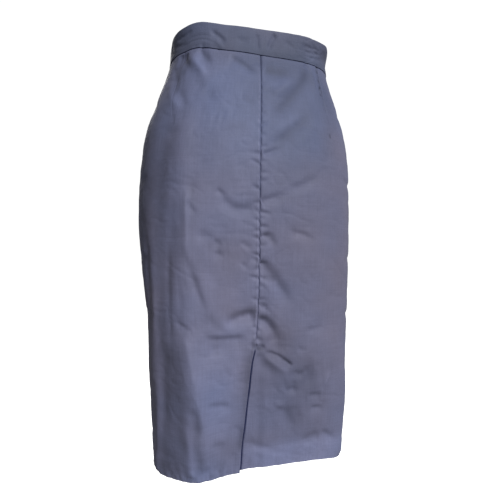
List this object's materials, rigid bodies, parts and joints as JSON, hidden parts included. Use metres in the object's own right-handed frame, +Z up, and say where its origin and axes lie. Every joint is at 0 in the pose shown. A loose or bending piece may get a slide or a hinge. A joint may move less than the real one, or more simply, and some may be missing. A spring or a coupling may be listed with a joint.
{
  "type": "pencil skirt",
  "caption": "High-waisted knee-length pencil skirt in slate blue-grey twill, with back darts, a straight waistband and a lapped back vent, filled out as worn.",
  "frame": {"origin": "middle of the waist hollow, half way up the waistband, where the wearer's waist holds the skirt", "axes": "+Z up towards the waistband's top edge, -Y towards the back of the skirt, +X towards the wearer's right"},
  "size_m": [0.3514, 0.2506, 0.6662],
  "materials": {
    "twill": "fine cotton-blend twill with a faint satin sheen",
    "band_twill": "the same twill, folded double and pressed flat",
    "zip_tape": "matte woven polyester tape",
    "zip_metal": "enamelled to match the cloth, semi-gloss"
  },
  "bodies": {
    "skirt": {"back_left": "twill", "back_right": "twill", "front": "twill", "waistband": "band_twill", "zip_tape": "zip_tape", "zip_slider": "zip_metal"},
    "pull": {"zip_pull": "zip_metal"}
  },
  "joints": [
    {"name": "pull_hinge", "type": "hinge", "parent": "skirt", "child": "pull", "pos_m": [0.1378, 0, 0.01051], "axis": [0, -1, 0], "range_deg": [0, 150]}
  ]
}
